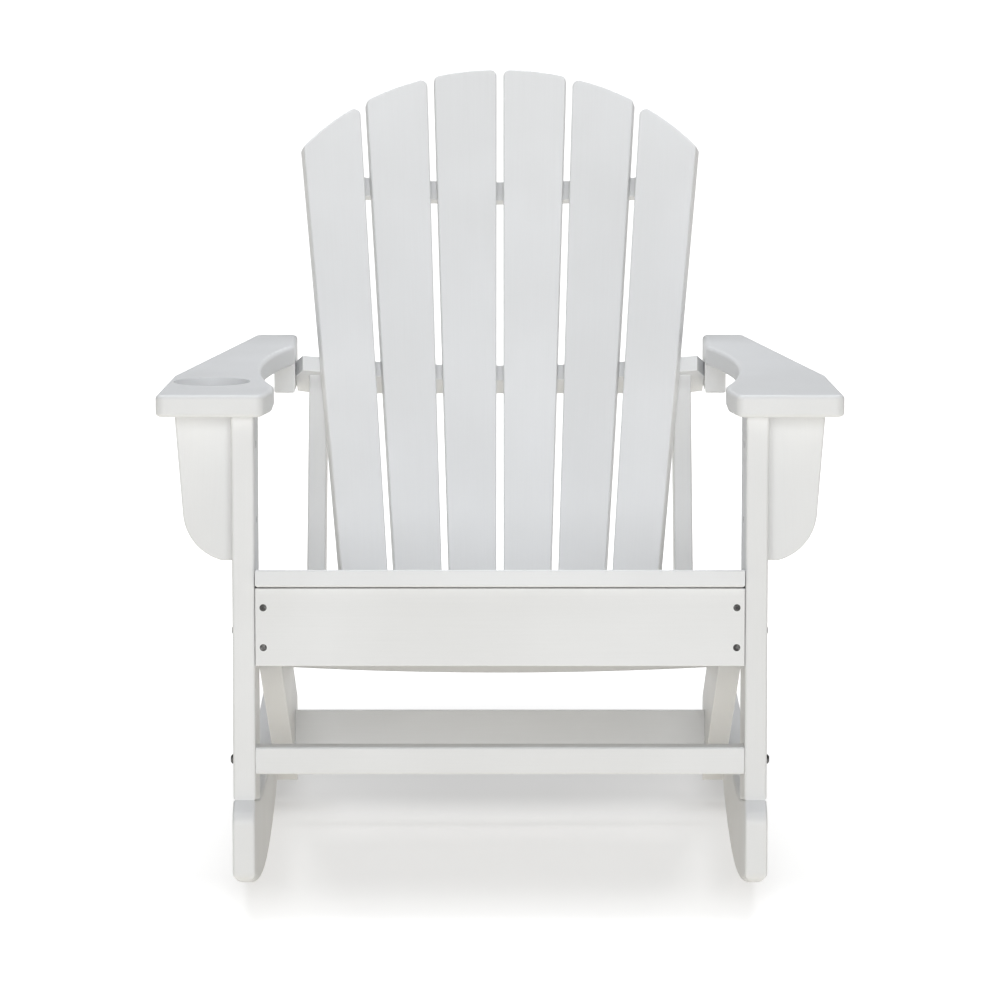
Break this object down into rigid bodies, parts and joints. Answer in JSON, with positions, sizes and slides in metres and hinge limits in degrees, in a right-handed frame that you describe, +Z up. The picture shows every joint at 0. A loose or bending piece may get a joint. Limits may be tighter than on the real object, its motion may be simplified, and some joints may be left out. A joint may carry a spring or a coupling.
{
  "type": "rocking adirondack chair",
  "caption": "Slatted garden chair on curved rockers, with a fanned arched back, broad flat arms on brackets and a round cup recess in one arm.",
  "frame": {"origin": "on the floor, in the middle of the chair's width and depth", "axes": "+Z up, +Y to the back of the chair, +X to the right as seen from the front; left and right in the names are as seen from the front"},
  "size_m": [0.762, 0.835, 0.878],
  "materials": {
    "boards": "white plastic lumber, satin, with a very faint brushed grain and rounded edges",
    "fasteners": "plain stainless steel"
  },
  "bodies": {
    "root": {"left_rocker": "boards", "right_rocker": "boards", "left_front_leg": "boards", "right_front_leg": "boards", "left_stringer": "boards", "right_stringer": "boards", "apron": "boards", "front_rung": "boards", "rear_spreader": "boards", "seat_slat_1": "boards", "seat_slat_2": "boards", "seat_slat_3": "boards", "seat_slat_4": "boards", "seat_slat_5": "boards", "back_slat_1": "boards", "back_slat_2": "boards", "back_slat_3": "boards", "back_slat_4": "boards", "back_slat_5": "boards", "back_slat_6": "boards", "lower_back_rail": "boards", "middle_back_rail": "boards", "upper_back_rail": "boards", "left_back_upright": "boards", "right_back_upright": "boards", "right_arm": "boards", "left_arm": "boards", "left_arm_bracket": "boards", "right_arm_bracket": "boards", "left_arm_cleat": "boards", "right_arm_cleat": "boards", "seat_screws": "fasteners", "apron_screws": "fasteners", "leg_bolts": "fasteners", "washers": "fasteners", "nuts": "fasteners", "rocker_bolts": "fasteners", "leg_screws": "fasteners", "rung_bolts": "fasteners", "barrel_nuts": "fasteners", "rocker_lag_screws": "fasteners", "spreader_screws": "fasteners", "lower_back_rail_screws": "fasteners", "middle_back_rail_screws": "fasteners", "upper_back_rail_screws": "fasteners", "rail_stringer_screws": "fasteners", "upright_screws": "fasteners", "cleat_screws": "fasteners", "arm_screws": "fasteners", "bracket_screws": "fasteners"}
  },
  "joints": []
}
